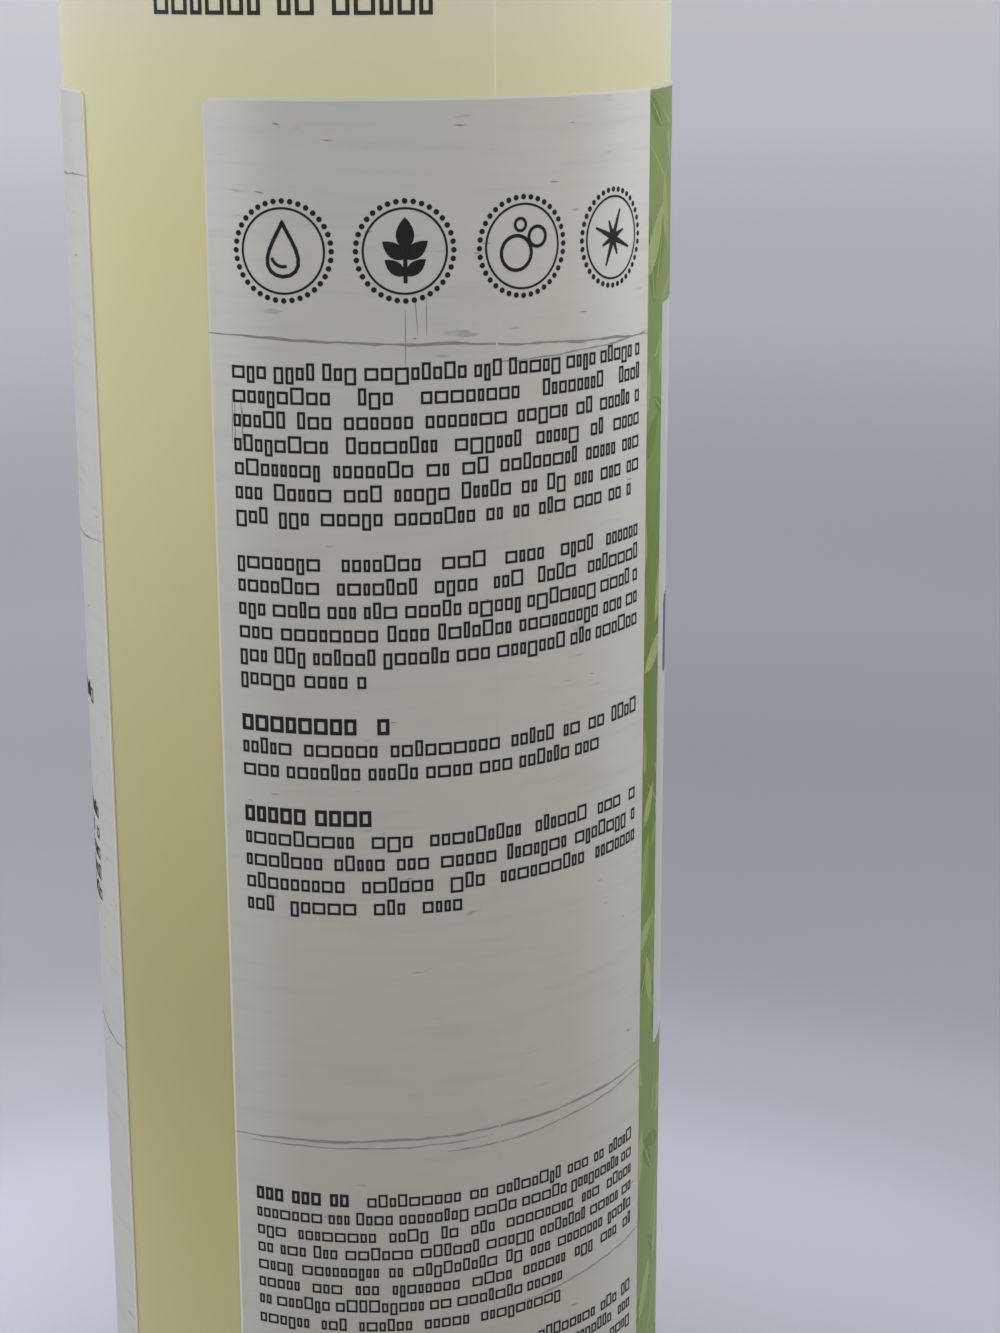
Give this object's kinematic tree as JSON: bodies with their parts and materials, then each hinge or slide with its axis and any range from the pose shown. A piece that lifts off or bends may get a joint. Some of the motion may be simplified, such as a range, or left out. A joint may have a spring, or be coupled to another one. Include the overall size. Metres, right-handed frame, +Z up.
{
  "type": "dish soap bottle",
  "caption": "Tall round squeeze bottle of liquid dish soap, with a wrap label, a window strip at the back and a ribbed screw cap with a push-pull spout.",
  "frame": {"origin": "centre of the round foot, on the surface that the bottle stands on", "axes": "+Z up along the bottle's axis, -Y towards the front of the label, +Y towards the window strip, +X to the right of someone who faces the front"},
  "size_m": [0.0734, 0.0732, 0.2713],
  "materials": {
    "milky_bottle_plastic": "satin translucent",
    "yellow_soap": "clear pale yellow liquid",
    "label_film": "matte printed film",
    "liner_foam": "matte foam",
    "cap_plastic": "satin moulded",
    "spout_plastic": "satin moulded"
  },
  "bodies": {
    "bottle": {"bottle": "milky_bottle_plastic", "wrap_label": "label_film", "dish_soap": "yellow_soap"},
    "liner": {"cap_liner": "liner_foam"},
    "cap": {"screw_cap": "cap_plastic"},
    "spout": {"pull_spout": "spout_plastic"}
  },
  "joints": [
    {"name": "cap_lift", "type": "slide", "parent": "bottle", "child": "liner", "axis": [0, 0, 1], "range_m": [0, 0.02116]},
    {"name": "cap_turn", "type": "hinge", "parent": "liner", "child": "cap", "pos_m": [0, 0, 0.25194], "axis": [0, 0, 1], "range_deg": [0, 1800]},
    {"name": "spout_pull", "type": "slide", "parent": "cap", "child": "spout", "axis": [0, 0, 1], "range_m": [0, 0.005]}
  ],
  "couplings": [
    {"joint": "cap_turn", "follows": "cap_lift", "rad_per_m": 1484.3}
  ]
}
